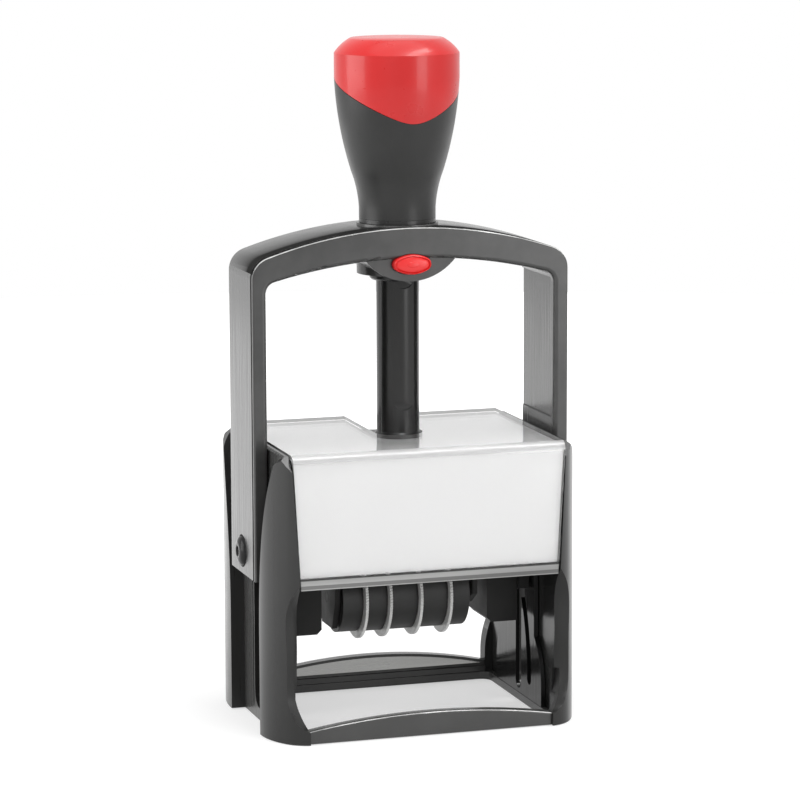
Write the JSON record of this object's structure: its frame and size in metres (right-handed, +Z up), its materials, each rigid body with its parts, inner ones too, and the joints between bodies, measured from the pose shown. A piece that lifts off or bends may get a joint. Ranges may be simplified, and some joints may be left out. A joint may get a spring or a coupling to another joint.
{
  "type": "self-inking date stamp",
  "caption": "Desk date stamp whose stirrup handle slides down a column while the printing carrier turns over from the ink pad to the paper.",
  "frame": {"origin": "centre of the base on the table plane", "axes": "+X to the right seen from the front, +Y to the back, +Z up along the column"},
  "size_m": [0.0924, 0.0627, 0.187],
  "materials": {
    "body_plastic": "dark grey injection-moulded plastic, satin gloss",
    "stirrup_plastic": "dark grey injection-moulded plastic, satin gloss",
    "steel": "bent and punched sheet steel",
    "column_plastic": "dark grey plastic tube, satin",
    "screw_steel": "blackened steel",
    "spring_steel": "spring wire",
    "clear_plastic": "clear polished plastic",
    "card": "white card",
    "cassette_plastic": "black moulded plastic",
    "felt": "felt soaked with black ink",
    "bush_plastic": "black bearing plastic",
    "grip_plastic": "dark grey grip, soft satin",
    "red_plastic": "red moulded plastic",
    "plunger_plastic": "grey moulded plastic",
    "carrier_plastic": "black moulded plastic",
    "plate_metal": "rolled aluminium sheet",
    "die_rubber": "engraved rubber",
    "axle_steel": "ground steel",
    "band_rubber": "black rubber band",
    "wheel_plastic": "light grey moulded plastic"
  },
  "bodies": {
    "root": {"base_frame": "body_plastic", "front_bar": "body_plastic", "left_side_shell": "body_plastic", "right_side_shell": "body_plastic", "steel_frame": "steel", "top_housing": "body_plastic", "column": "column_plastic", "flange_screws": "screw_steel", "return_spring": "spring_steel"},
    "cover": {"clear_cover": "clear_plastic", "index_card": "card"},
    "cassette": {"pad_cassette": "cassette_plastic", "ink_pad": "felt"},
    "bridge": {"bridge": "stirrup_plastic", "column_bush": "bush_plastic", "handle_collar": "bush_plastic", "handle_core": "bush_plastic", "handle_grip": "grip_plastic", "handle_cap": "red_plastic", "spring_plunger": "plunger_plastic", "axle_screw_left": "screw_steel", "axle_screw_right": "screw_steel"},
    "lock": {"lock_button": "red_plastic"},
    "carrier": {"carrier_frame": "carrier_plastic", "follower_pins": "screw_steel", "text_plate": "plate_metal", "text_die": "die_rubber", "date_housing": "carrier_plastic", "wheel_axle": "axle_steel", "band_nose": "axle_steel", "axle_spacer": "band_rubber", "date_band_1": "band_rubber", "date_band_2": "band_rubber", "date_band_3": "band_rubber", "date_band_4": "band_rubber"},
    "wheel_1": {"thumbwheel_1": "wheel_plastic"},
    "wheel_2": {"thumbwheel_2": "wheel_plastic"},
    "wheel_3": {"thumbwheel_3": "wheel_plastic"},
    "wheel_4": {"thumbwheel_4": "wheel_plastic"}
  },
  "joints": [
    {"name": "press", "type": "slide", "parent": "root", "child": "bridge", "axis": [0, 0, -1], "range_m": [0, 0.04], "stiffness_N_per_m": 400, "springref_m": -0.03, "deforming": ["return_spring", "ink_pad"]},
    {"name": "flip", "type": "hinge", "parent": "bridge", "child": "carrier", "pos_m": [0, 0, 0.048], "axis": [1, 0, 0], "range_deg": [0, 180]},
    {"name": "lock_press", "type": "slide", "parent": "bridge", "child": "lock", "axis": [0, 1, 0], "range_m": [0, 0.0018], "stiffness_N_per_m": 300, "springref_m": -0.002},
    {"name": "cassette_slide", "type": "slide", "parent": "root", "child": "cassette", "axis": [0, 1, 0], "range_m": [0, 0.062]},
    {"name": "cover_slide", "type": "slide", "parent": "root", "child": "cover", "axis": [0, -1, 0], "range_m": [0, 0.04]},
    {"name": "wheel_1_spin", "type": "hinge", "parent": "carrier", "child": "wheel_1", "pos_m": [0, 0, 0.0334], "axis": [1, 0, 0], "continuous": true},
    {"name": "wheel_2_spin", "type": "hinge", "parent": "carrier", "child": "wheel_2", "pos_m": [0, 0, 0.0334], "axis": [1, 0, 0], "continuous": true},
    {"name": "wheel_3_spin", "type": "hinge", "parent": "carrier", "child": "wheel_3", "pos_m": [0, 0, 0.0334], "axis": [1, 0, 0], "continuous": true},
    {"name": "wheel_4_spin", "type": "hinge", "parent": "carrier", "child": "wheel_4", "pos_m": [0, 0, 0.0334], "axis": [1, 0, 0], "continuous": true}
  ],
  "couplings": [
    {"joint": "flip", "follows": "press", "rad_per_m": 78.54}
  ]
}
